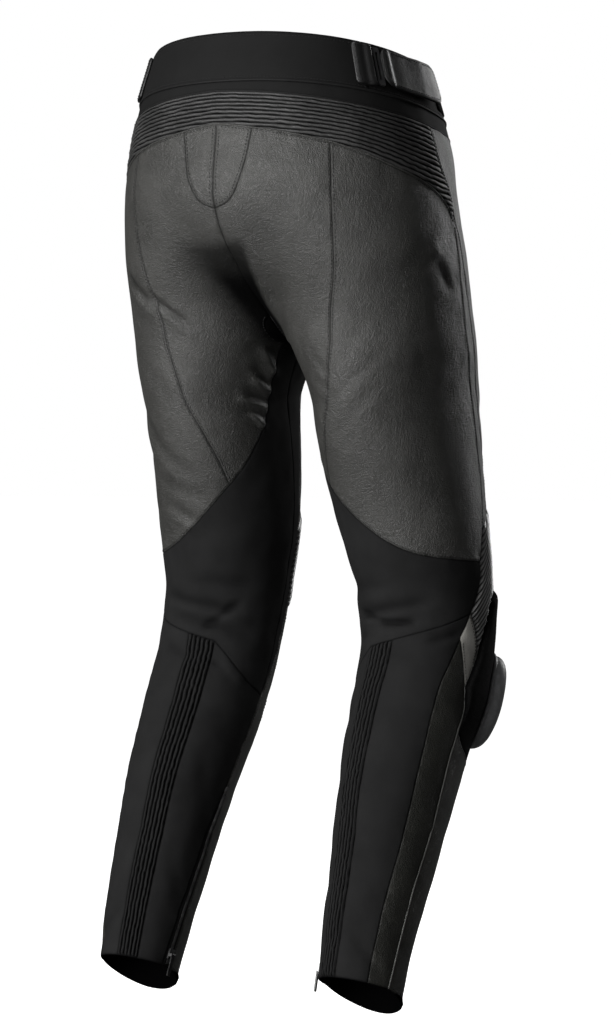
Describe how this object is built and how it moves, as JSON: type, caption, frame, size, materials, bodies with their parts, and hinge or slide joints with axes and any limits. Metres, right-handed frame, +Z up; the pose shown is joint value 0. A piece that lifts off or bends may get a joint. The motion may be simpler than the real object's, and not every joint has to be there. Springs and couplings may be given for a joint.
{
  "type": "motorcycle trousers",
  "caption": "Hollow leather and stretch-cloth motorcycle trousers with ribbed yoke, knees and calves, knee sliders, waist adjusters and ankle zips",
  "frame": {"origin": "middle of the waist seam, where the wearer holds the trousers up", "axes": "+Z up, the front faces -Y, the wearer's left is +X"},
  "size_m": [0.4098, 0.3089, 1.0235],
  "materials": {
    "leather": "fine grain, soft sheen",
    "leather_light": "fine grain, soft sheen",
    "stretch": "matte woven stretch cloth",
    "waistband": "matte, finely woven",
    "hook_tape": "matte hook and loop pile",
    "zip_tape": "matte woven tape",
    "slider_plastic": "moulded, slightly scuffed sheen",
    "metal": "dark plated zip metal"
  },
  "bodies": {
    "trousers": {"adjuster_hook_patch_left": "hook_tape", "adjuster_hook_patch_right": "hook_tape", "adjuster_loop_left": "waistband", "adjuster_loop_right": "waistband", "adjuster_ring_left": "slider_plastic", "adjuster_ring_right": "slider_plastic", "adjuster_strap_left": "waistband", "adjuster_strap_right": "waistband", "ankle_slider_left": "metal", "ankle_slider_right": "metal", "ankle_zip_tape_left": "zip_tape", "ankle_zip_tape_right": "zip_tape", "calf_inner_left": "stretch", "calf_inner_right": "stretch", "calf_outer_left": "stretch", "calf_outer_right": "stretch", "calf_ribs_left": "stretch", "calf_ribs_right": "stretch", "fly_placket": "leather", "knee_fin_left": "leather_light", "knee_fin_right": "leather_light", "knee_ribs_left": "leather", "knee_ribs_right": "leather", "knee_slider_left": "slider_plastic", "knee_slider_right": "slider_plastic", "seat_back_left": "leather", "seat_back_right": "leather", "shin_front_left": "leather", "shin_front_right": "leather", "shin_outer_left": "leather", "shin_outer_right": "leather", "side_strip_left": "leather", "side_strip_right": "leather", "slider_base_left": "hook_tape", "slider_base_right": "hook_tape", "stretch_back_left": "stretch", "stretch_back_right": "stretch", "stretch_front_left": "stretch", "stretch_front_right": "stretch", "tail_patch_left": "leather", "tail_patch_right": "leather", "thigh_back_left": "leather", "thigh_back_right": "leather", "thigh_front_left": "leather", "thigh_front_right": "leather", "waist_closing_tab": "waistband", "waist_piping": "waistband", "waist_snap": "metal", "waistband_back": "waistband", "waistband_front_left": "waistband", "waistband_front_right": "waistband", "yoke_ribs": "leather"},
    "ankle_pull_left": {"ankle_pull_left": "metal"},
    "ankle_pull_right": {"ankle_pull_right": "metal"}
  },
  "joints": [
    {"name": "ankle_pull_left_swing", "type": "hinge", "parent": "trousers", "child": "ankle_pull_left", "pos_m": [0.0915, 0.09611, -0.90134], "axis": [0.1376, 0.9256, 0.3527], "range_deg": [-5, 145]},
    {"name": "ankle_pull_right_swing", "type": "hinge", "parent": "trousers", "child": "ankle_pull_right", "pos_m": [-0.0915, 0.09611, -0.90134], "axis": [0.1376, -0.9256, -0.3527], "range_deg": [-5, 145]}
  ]
}
